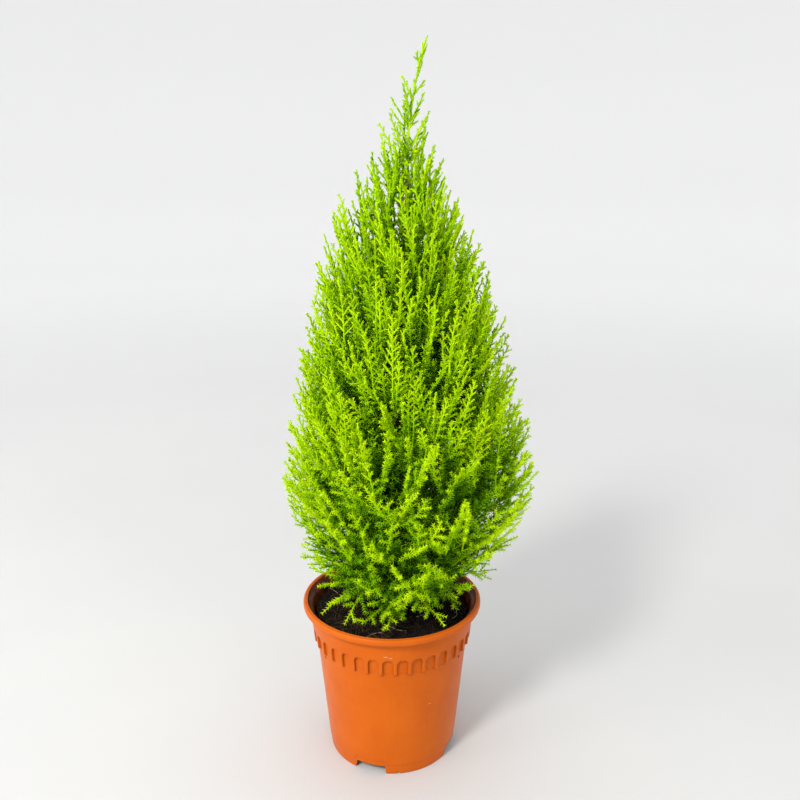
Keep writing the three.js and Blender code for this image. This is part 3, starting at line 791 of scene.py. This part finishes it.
TRIM = ([165, 200, 270, 330, 420], [0.98, 0.98, 0.98, 1.0, 0.95])
HANGING_TIPS = [(-60, -46, 151), (-40, -57, 147), (-4, -67, 148), (44, -62, 148), (88, -20, 169)]
HANGING_LENGTH = 52
HANGING_DROP = 14
HANGING_ARCH = 6
HANGING_TWIGS = (3.0, 1.0)
SIDE_SHOOTS = [(0.18, 0), (0.32, 180), (0.46, 0), (0.6, 180)]
SIDE_ANGLE = 44
SIDE_SHARE = 0.45
SIDE_LEAST = 8
SIDE_LIFT = 0.15
SIDE_REACH = 0.9
SIDE_TWIGS = (5.0, 1.2)
BRANCH_BARE = 0.3
LEADER_BARE = 0.05
BRANCH_TWIGS = (4.0, 1.0)
WOODY_END = 0.86
LINE_STEPS = 12
ROPY_HEIGHT = [220, 330, 520]
TWIGGED_LENGTH = 54
TWIGS_END = 0.96
TWIG_PLACE = (0.3, 0.7)
TWIG_LENGTH = [19, 11.5, 9.5]
TWIG_LENGTH_TIP = [6.5, 4.2, 3.5]
TWIG_UNEVEN = (0.8, 1.15)
TWIG_ROLL = [0.45, 1.1, 1.6]
TWIG_APART = [2.4, 1.0, 1.2]
TWIG_ANGLE = (50, 36)
TWIG_LIFT = 0.1
TWIG_FULL_SHOOT = 48
TWIG_SHARE = (0.72, 1.1)
DEEP_TWIG = 0.8
LEADER_TAPER = 0.55
LEADER_CLOSE = 0.75
TWIG_PAST_CROWN = 1.03
TWIG_SPARE = ([TRUNK_TIP, TREE_TIP - 30], [1.5, 7])
TWIG_PAST_TIP = 2
SHOOT_THICKNESS = (0.75, 0.5)
TWIG_THICKNESS = (0.72, 0.5)
STOUT_STEM = [1.0, 1.05, 1.25]
# Painted shade: greens darken with depth in the crown, less high up where light gets through, and by height.
LET_THROUGH = ([220, 310, 470], [1.9, 1.1, 0.58])
PAINTED_SHADE_BY_DEPTH = ([4, 14, 26, 38, 52], [1, 2, 3, 4, 5])
PAINTED_SHADE_BY_HEIGHT = ([150, 250, 380, 470, 570], [-0.3, -0.65, -0.1, 0.1, 1.1])
# Stems come in lit, half-lit and deep copies of one green: painted light and painted shade by depth.
STEM_SHADES = {"lit": (-9, 1.6), "half_lit": (1.6, 2.7), "deep": (2.7, 9)}
STEM_GREENS = {
    "lit": ((166, 210, 4), (188, 226, 8)),
    "half_lit": ((136, 188, 4), (162, 210, 6)),
    "deep": ((60, 104, 5), (88, 138, 6)),
}
GREEN_SHINE = 0.06

growth = np.random.default_rng(SEED)
upwards = np.array([0, 0, 1.0])


def nearest_branch(point):
    """The place on any branch or side shoot that is nearest to a point."""
    start, run = branch_lines[:, :-1], branch_lines[:, 1:] - branch_lines[:, :-1]
    share = np.sum((point - start) * run, axis=2) / np.sum(run * run, axis=2)
    spots = start + np.clip(share, 0, 1)[..., None] * run
    away = np.linalg.norm(spots - point, axis=2)
    return spots.reshape(-1, 3)[np.argmin(away)]


def out_of_trunk(points):
    """How far points are from the trunk's line, and the crown's reach there."""
    across, behind, _ = (points - trunk_centre(points[:, 2])).T
    return np.hypot(across, behind), crown_reach(points[:, 2], np.arctan2(behind, across))


def above_pot(points):
    over_lip = np.hypot(points[:, 0], points[:, 1]) > wall_radius(LIP_BOTTOM) - 2 * WALL
    return points[:, 2] > np.where(over_lip, POT_HEIGHT, MIX_CROWN) + 1


def sideways(heading, angle, turn, lift):
    """Headings at an angle to others, turned about them, and then bent a little upwards."""
    level = np.stack([-heading[..., 1], heading[..., 0], 0 * heading[..., 0]], axis=-1)
    flat = np.linalg.norm(level, axis=-1, keepdims=True)
    level = np.where(flat < 1e-3, np.array([1.0, 0, 0]), level / np.maximum(flat, 1e-9))
    cross = np.cross(heading, level)
    angle, turn = np.asarray(angle)[..., None], np.asarray(turn)[..., None]
    made = heading * np.cos(angle) + (level * np.cos(turn) + cross * np.sin(turn)) * np.sin(angle)
    made = made + upwards * lift
    return made / np.linalg.norm(made, axis=-1, keepdims=True)


def ropy(height, values):
    """A value at a height; low in the crown the growth is feathery, and high up it is like thin rope."""
    return np.interp(height, ROPY_HEIGHT, values)


# Every shoot and twig is a bent line, foot + run * s + bend * s^2 for s from 0 to 1. A shoot's values
# also give the spacing of its twigs and how coarse their needles are.
def on_line(foot, run, bend, s):
    return foot + run * s + bend * s ** 2


def bent_line(foot, knee, tip):
    return foot, 2 * (knee - foot), foot - 2 * knee + tip


def side_shoot(one, t, side):
    """A shoot that leaves a branch to one side and stays within the crown."""
    foot, heading = on_branch(one, t)
    turn = math.radians(side) + growth.normal(0, 0.4)
    ahead = sideways(heading, math.radians(SIDE_ANGLE), turn, 0.2)
    length = SIDE_SHARE * (1 - t) * np.linalg.norm(one["ends"][2] - one["ends"][0]) + SIDE_LEAST
    while length > SIDE_LEAST:
        tip = foot + ahead * length + upwards * (SIDE_LIFT * length)
        outwards, reach = out_of_trunk(tip[None])
        if outwards[0] < reach[0] * SIDE_REACH and above_pot(tip[None])[0]:
            break
        length *= 0.85
    return foot, ahead * length, upwards * (SIDE_LIFT * length), *SIDE_TWIGS


side_shoots = [side_shoot(one, t, side) for one in branches[:-1] for t, side in SIDE_SHOOTS]
walk = np.linspace(0.05, 0.95, LINE_STEPS + 1)[:, None]
branch_walk = np.linspace(0.14, WOODY_END - 0.02, LINE_STEPS + 1)
branch_lines = [on_branch(one, branch_walk)[0] for one in branches]
branch_lines = np.array(branch_lines + [on_line(*shoot[:3], walk) for shoot in side_shoots])


def layer_of_shoots(layer):
    """Shoots with their tips on a golden-angle spiral at one depth of the crown."""
    made, height, number = [], LOWEST_SHOOT, 0
    deep = layer["reach"] < 1
    while height < HIGHEST_SHOOT:
        turn = math.radians(GOLDEN_ANGLE * number) + growth.normal(0, SHOOT_TURN_LOOSE)
        share = min(max(crown_share(height), 0), 1)
        reach = crown_reach(height, turn) * layer["reach"] * np.interp(height, *TRIM)
        out = reach * (1 - np.interp(share, *SHOOT_TUCK) * growth.random() ** SHOOT_TUCK_POWER)
        tip = trunk_centre(height) + out * np.array([math.cos(turn), math.sin(turn), 0])
        loose = np.interp(share, *SHOOT_LOOSE)
        rise = math.radians(np.interp(share, *SHOOT_RISE) + growth.normal(0, loose))
        swing = turn + math.radians(growth.normal(0, 2 * loose))
        level = math.cos(rise)
        ahead = np.array([level * math.cos(swing), level * math.sin(swing), math.sin(rise)])
        length = lerp(*SHOOT_LENGTH, share) * growth.uniform(*SHOOT_UNEVEN)
        bare = trunk_radius(height) + 3 if height < TRUNK_TIP else 0.5
        length = min(length, max(out - bare, 5) / max(level, 0.1))
        foot = nearest_branch(tip - ahead * length)
        line = bent_line(foot, tip - ahead * 0.5 * np.linalg.norm(tip - foot), tip)
        path = on_line(*line, np.array(SHOOT_CHECKED)[:, None])
        if above_pot(path).all() and not (deep and (reach < LAYER_LEAST or height > TRUNK_TIP)):
            made.append((*line, *layer["twigs"]))
        height += np.interp(height, SPACING_HEIGHT, layer["spacing"]) ** 2 / (2 * math.pi * max(reach, 9))
        number += 1
    return made


def hanging_shoot(tip):
    """A low shoot that hangs out over the mix."""
    tip = np.array(tip, float)
    out = tip * np.array([1, 1, 0]) / math.hypot(tip[0], tip[1])
    foot = nearest_branch(tip - out * HANGING_LENGTH + upwards * HANGING_DROP)
    knee = lerp(foot, tip, 0.6) + upwards * HANGING_ARCH
    return *bent_line(foot, knee, tip), *HANGING_TWIGS


def branch_end(one, start, end):
    """The needled outer part of a branch's own line."""
    low, middle, high = one["ends"]
    slope = 2 * ((1 - start) * (middle - low) + start * (high - middle))
    bend = (end - start) ** 2 * (low - 2 * middle + high)
    return on_branch(one, start)[0], (end - start) * slope, bend, *BRANCH_TWIGS


shoot_parts = side_shoots + [part for layer in SHOOT_LAYERS for part in layer_of_shoots(layer)]
shoot_parts += [hanging_shoot(tip) for tip in HANGING_TIPS]
shoot_parts += [branch_end(one, BRANCH_BARE, WOODY_END) for one in branches[:-1]]
shoot_parts += [branch_end(branches[-1], LEADER_BARE, 1)]
*shoot_lines, twig_spacing, shoot_coarse = (np.array(part) for part in zip(*shoot_parts))
shoot_path = on_line(*[part[:, None] for part in shoot_lines], np.linspace(0, 1, 9)[None, :, None])
shoot_length = np.linalg.norm(np.diff(shoot_path, axis=1), axis=2).sum(axis=1)
shoot_from = np.clip(1 - TWIGGED_LENGTH / shoot_length, 0.08, 0.8)

# The twigs stand in two ranks on their shoot, like the vane of a feather, and are left out where
# they would pass the crown's outline or touch the pot.
twig_parts = []
for k, length in enumerate(shoot_length):
    foot, run, bend = (part[k] for part in shoot_lines)
    tip_height = shoot_path[k, -1, 2]
    apart = twig_spacing[k] * ropy(tip_height, TWIG_APART)
    count = max(int(length * (TWIGS_END - shoot_from[k]) / apart), 1)
    s = lerp(shoot_from[k], TWIGS_END, (np.arange(count) + growth.uniform(*TWIG_PLACE, count)) / count)
    feet = on_line(foot, run, bend, s[:, None])
    ahead = run + 2 * bend * s[:, None]
    ahead /= np.linalg.norm(ahead, axis=1, keepdims=True)
    along = (s - shoot_from[k]) / (1 - shoot_from[k])
    roll = growth.normal(0, ropy(tip_height, TWIG_ROLL))
    turns = roll + np.arange(count) * math.pi + growth.normal(0, 0.2, count)
    angles = np.radians(lerp(*TWIG_ANGLE, along) + growth.normal(0, 5, count))
    taper, close = (LEADER_TAPER, LEADER_CLOSE) if k == len(shoot_length) - 1 else (1, 1)
    longest = ropy(tip_height, TWIG_LENGTH)
    shortest = ropy(tip_height, TWIG_LENGTH_TIP)
    long = lerp(longest, shortest, along * taper) * growth.uniform(*TWIG_UNEVEN, count)
    long *= np.clip(length / TWIG_FULL_SHOOT, *TWIG_SHARE) * (DEEP_TWIG if shoot_coarse[k] > 1 else 1)
    runs = sideways(ahead, angles * close, turns, TWIG_LIFT) * long[:, None]
    tips = feet + runs
    outwards, reach = out_of_trunk(tips)
    within = outwards < reach * TWIG_PAST_CROWN + np.interp(tips[:, 2], *TWIG_SPARE)
    keep = above_pot(tips) & within & (tips[:, 2] < TREE_TIP + TWIG_PAST_TIP)
    for row in np.nonzero(keep)[0]:
        twig_parts.append((feet[row], runs[row], long[row], k, along[row]))
twig_foot, twig_run, twig_length, twig_shoot, twig_along = (np.array(part) for part in zip(*twig_parts))
twig_lines = (twig_foot, twig_run, np.zeros_like(twig_run))


# Each shoot has a shade of its own; painted shade darkens its twigs where they stand deep in the crown, and
# varies with height.
def painted_depth_shade(points):
    outwards, reach = out_of_trunk(points)
    depth = np.maximum(reach - outwards, 0) * np.interp(points[:, 2], *LET_THROUGH)
    return np.interp(depth, *PAINTED_SHADE_BY_DEPTH) + np.interp(points[:, 2], *PAINTED_SHADE_BY_HEIGHT)


shoot_foot, shoot_run, shoot_bend = shoot_lines
shoot_own = growth.normal(0, 0.4, len(shoot_foot))
shoot_shade = painted_depth_shade(shoot_foot + 0.75 * shoot_run + 0.6 * shoot_bend) + shoot_own
twig_shade = painted_depth_shade(twig_foot + 0.6 * twig_run) + shoot_own[twig_shoot] + lerp(0.4, -0.5, twig_along)
twig_shade = twig_shade + growth.normal(0, 0.25, len(twig_foot))


def flecked_green(name, dark, light, fleck, edges, roughness):
    finish, tree, skin, where = new_finish(name, roughness, GREEN_SHINE)
    flecks = between(grain(where, fleck, 3), *edges)
    tree.links.new(blend(flecks, dark, light), skin["Base Color"])
    return finish


def stem_piece(name, lines, chosen, steps, thickness, finish):
    """Stems that are stouter high in the crown, where the needles lie close on them like scales."""
    foot, run, bend = (part[chosen][:, None] for part in lines)
    s = np.linspace(0, 1, steps)[None, :, None]
    points = on_line(foot, run, bend, s)
    thick = lerp(*thickness, s[..., 0]) * ropy(points[..., 2], STOUT_STEM)
    piece = stems(name, points, thick, 3, finish)
    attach(piece, "root")
    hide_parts(*foliage_nodes)


foliage_nodes = [f"foliage_{i + 1}" for i in range(len(branches) - 1)] + ["foliage_leader"]
# Each stem takes the painted lit, half-lit or deep (shaded) green of its shade number.
for label, (least, most) in STEM_SHADES.items():
    green = flecked_green(label + "_stem", *STEM_GREENS[label], 240, (0.35, 0.65), 0.6)
    shaded_shoots = (shoot_shade >= least) & (shoot_shade < most)
    shaded_twigs = (twig_shade >= least) & (twig_shade < most)
    stem_piece("shoot_stems_" + label, shoot_lines, shaded_shoots, 5, SHOOT_THICKNESS, green)
    stem_piece("twig_stems_" + label, twig_lines, shaded_twigs, 2, TWIG_THICKNESS, green)


# The needles are soft, awl-shaped and about three millimetres long, in whorls along every twig: four that
# spread widely low in the crown, and three that lie closer above. Young tips are pale lime and the outside
# lime; inside, deep greens stand for older foliage and painted shade, and coarser whorls fill the shade.
NEEDLES = {
    "low": {"length": 3.4, "width": 0.72, "angle": 57, "around": 4},
    "high": {"length": 2.6, "width": 1.6, "angle": 48, "around": 3},
}
NEEDLE_KEEL = 0.7
NEEDLE_FOOT = 0.3
NEEDLE_UNEVEN = (0.85, 1.12)
NEEDLE_AT_END = 0.9
WHORL_SPACING = 2.0
SHOOT_WHORL_SPACING = 3.2
WHORLS_APART = [1.05, 1.0, 1.0]
WHORL_TURN = math.pi / 3
WHORL_SPREAD = [1.0, 0.85, 0.68]
COARSE_WHORL = [0.8, 0.95, 1.0]
LAST_WHORL = 0.85
LAST_PALER = 0.6
SHOOT_PALER = 0.2
SHOOT_PALING = 1.6
TWIG_PALING = 0.5
TWIG_BARE = 0.06
CROWN_MIDDLE = 310
CROWN_MIXED = 35
# The greens by shade number, from young tips outside to painted shade deep inside.
SHADES = {
    "pale_tip": (208, 237, 22),
    "bright_lime": (200, 234, 6),
    "lime": (186, 228, 3),
    "leaf_green": (154, 208, 2),
    "deep_green": (108, 168, 3),
    "inner_green": (50, 104, 4),
}
FLECK_DARK = 0.9
FLECK_LIGHT = 1.06


def needle_whorl(length, width, angle, around):
    """Slim needles, each a keeled point of three faces, round a twig that runs up."""
    tilt = math.radians(angle)
    corners = [Vector((0.15, -width / 2, NEEDLE_FOOT)), Vector((0.15, width / 2, NEEDLE_FOOT))]
    corners += [Vector((0.35, 0, NEEDLE_FOOT - NEEDLE_KEEL))]
    corners += [Vector((0.2 + length * math.sin(tilt), 0, length * math.cos(tilt)))]
    points, faces = [], []
    for i in range(around):
        turn = Matrix.Rotation(2 * math.pi / around * i, 3, "Z")
        left, right, keel, tip = range(len(points), len(points) + 4)
        points += [turn @ corner * MM for corner in corners]
        faces += [(right, left, tip), (left, keel, tip), (keel, right, tip)]
    return new_piece("needle_whorl", points, faces)


def whorl_tree():
    """Whorls set on points by the heading, turn and size that are kept with each."""
    tree, given = start_tree("whorls", {"Whorl": "Object", "Finish": "Material"})
    points = add_node(tree, "GeometryNodeMeshToPoints", {"Mesh": given["Geometry"]})
    whorl = add_node(tree, "GeometryNodeObjectInfo", {"Object": given["Whorl"], "As Instance": True})
    heading = kept_value(tree, "heading", "FLOAT_VECTOR")
    aimed = add_node(tree, "FunctionNodeAlignRotationToVector", {"Vector": heading}, axis="Z")
    turn = kept_value(tree, "turn", "FLOAT")
    spin = add_node(tree, "FunctionNodeAxisAngleToRotation", {"Axis": (0, 0, 1), "Angle": turn})
    turned = add_node(tree, "FunctionNodeRotateRotation", {0: aimed, 1: spin}, rotation_space="LOCAL")
    placed = add_node(tree, "GeometryNodeInstanceOnPoints", {
        "Points": points, "Instance": whorl.outputs["Geometry"], "Rotation": turned,
        "Scale": kept_value(tree, "size", "FLOAT_VECTOR")})
    return end_tree(tree, placed, given["Finish"])


def whorl_points(lines, length, bare, spacing, coarse, shade, paling):
    """Every whorl on a set of stems: place, heading, turn, size and shade."""
    foot, run, bend = lines
    apart = spacing * ropy(foot[:, 2], WHORLS_APART) * coarse
    count = np.maximum((length * (1 - bare) / apart).astype(int), 1)
    stem = np.repeat(np.arange(len(foot)), count)
    step = np.arange(len(stem)) - np.repeat(np.cumsum(count) - count, count)
    s = lerp(bare[stem], 1.0, (step + 0.6) / count[stem])
    place = on_line(foot[stem], run[stem], bend[stem], s[:, None])
    heading = run[stem] + 2 * bend[stem] * s[:, None]
    turn = growth.uniform(0, 6.3, len(foot))[stem] + step * WHORL_TURN + growth.normal(0, 0.12, len(stem))
    last = step == count[stem] - 1
    size = growth.uniform(*NEEDLE_UNEVEN, len(stem)) * lerp(1.0, NEEDLE_AT_END, s) * coarse[stem]
    size *= np.where(coarse[stem] > 1, ropy(place[:, 2], COARSE_WHORL), 1.0)
    size *= np.where(last, LAST_WHORL, 1.0)
    spread = size * ropy(place[:, 2], WHORL_SPREAD)
    paler = paling * (0.5 - s) - LAST_PALER * last
    return place, heading, turn, np.stack([spread, spread, size], axis=1), shade[stem] + paler


twig_bare = np.full(len(twig_foot), TWIG_BARE)
on_shoots = whorl_points(shoot_lines, shoot_length, shoot_from, SHOOT_WHORL_SPACING, shoot_coarse,
                         shoot_shade - SHOOT_PALER, SHOOT_PALING)
on_twigs = whorl_points(twig_lines, twig_length, twig_bare, WHORL_SPACING, shoot_coarse[twig_shoot],
                        twig_shade, TWIG_PALING)
place, heading, turn, size, shade = (np.concatenate(pair) for pair in zip(on_shoots, on_twigs))
shade = np.clip(np.round(shade), 0, len(SHADES) - 1).astype(int)
low_down = place[:, 2] + growth.normal(0, CROWN_MIXED, len(place)) < CROWN_MIDDLE
low_nodes = [node for node, one in zip(foliage_nodes, branches) if one["ends"][2][2] < CROWN_MIDDLE]
high_nodes = [node for node in foliage_nodes if node not in low_nodes]
whorls = {part: needle_whorl(**shape) for part, shape in NEEDLES.items()}
set_whorls = whorl_tree()
for number, (label, screen) in enumerate(SHADES.items()):
    dark = [FLECK_DARK * value for value in screen]
    light = [min(255, FLECK_LIGHT * value) for value in screen]
    green = flecked_green(label + "_needles", dark, light, 150, (0.3, 0.7), 0.55)
    for part, nodes in (("low", low_nodes), ("high", high_nodes)):
        chosen = (shade == number) & (low_down == (part == "low"))
        kept = {"heading": heading[chosen], "turn": turn[chosen], "size": size[chosen]}
        places = point_source("whorl_places", place[chosen], kept)
        needles = grown(f"{label}_needles_{part}", places, set_whorls,
                        {"Whorl": whorls[part], "Finish": green})
        bpy.data.objects.remove(places)
        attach(needles, "root")
        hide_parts(*nodes)
for whorl in whorls.values():
    bpy.data.objects.remove(whorl)


# The floor is a wide pale sweep of paper that curves up all round, lit by large soft lamps,
# with the camera a little above the middle of the crown. Sizes are in metres.
FLOOR_PROFILE = [(1.6, 0), (2.2, 0.04), (2.7, 0.2), (3.1, 0.55), (3.3, 1.1), (3.4, 2.0), (3.45, 3.4)]
FLOOR_COLUMNS = 96
PAPER = ((202, 202, 202), (206, 206, 205))
PAPER_FAR = (238, 238, 238)
SKY_COLOUR = (0.975, 0.988, 1.0, 1)
SKY_STRENGTH = 0.85
CAMERA_PLACE = (0, -0.663, 0.495)
CAMERA_DOWN = 14.2
CAMERA_RIGHT = 0.63
CAMERA_LENS = 36


def pale_paper():
    finish, tree, skin, where = new_finish("pale_paper", 0.9, 0.1)
    cloud = between(grain(where, 2.2, 3), 0.3, 0.7)
    far = between(vector_length(where), 0.5, 2.6)
    tree.links.new(blend(far, blend(cloud, *PAPER), PAPER_FAR), skin["Base Color"])
    return finish


floor_turns = 2 * math.pi / FLOOR_COLUMNS * np.arange(FLOOR_COLUMNS)
floor_rings = [round_ring(radius, height, floor_turns) for radius, height in FLOOR_PROFILE]
floor_faces = [face[::-1] for face in ring_faces(FLOOR_COLUMNS, len(floor_rings), False)]
paper_sweep = new_piece("paper_sweep", np.concatenate([[(0, 0, 0)], *floor_rings]), floor_faces)
paper_sweep.data.shade_smooth()
paper_sweep.data.materials.append(pale_paper())


def soft_lamp(name, place, aim, size, watts, colour):
    data = bpy.data.lights.new(name, "AREA")
    data.shape = "DISK"
    data.size = size
    data.energy = watts
    data.color = colour
    lamp = in_scene(name, data)
    lamp.location = place
    lamp.rotation_euler = (Vector(aim) - Vector(place)).to_track_quat("-Z", "Y").to_euler()


soft_lamp("key_lamp", (-1.0, -1.5, 1.8), (0, 0, 0.3), 0.5, 40, (1.0, 0.98, 0.95))
soft_lamp("fill_lamp", (1.2, -1.5, 1.0), (0, 0, 0.3), 1.4, 3.5, (0.97, 0.99, 1.0))
soft_lamp("side_lamp", (-1.5, -0.7, 0.5), (0, 0, 0.15), 0.7, 7, (1.0, 0.98, 0.96))
soft_lamp("top_lamp", (0.1, 0.4, 2.3), (0, 0, 0.3), 1.6, 11, (1.0, 1.0, 1.0))
sky = bpy.data.worlds.new("even_sky")
sky.use_nodes = True
sky_light = sky.node_tree.nodes["Background"].inputs
sky_light["Color"].default_value = SKY_COLOUR
sky_light["Strength"].default_value = SKY_STRENGTH
bpy.context.scene.world = sky
bpy.context.scene.view_settings.view_transform = "Standard"

camera_data = bpy.data.cameras.new("front_camera")
camera_data.lens = CAMERA_LENS
camera_data.sensor_width = 36
camera_data.clip_start = 0.01
camera_data.clip_end = 50
camera = in_scene("front_camera", camera_data)
camera.location = CAMERA_PLACE
camera.rotation_euler = (math.radians(90 - CAMERA_DOWN), 0, math.radians(-CAMERA_RIGHT))
bpy.context.scene.camera = camera
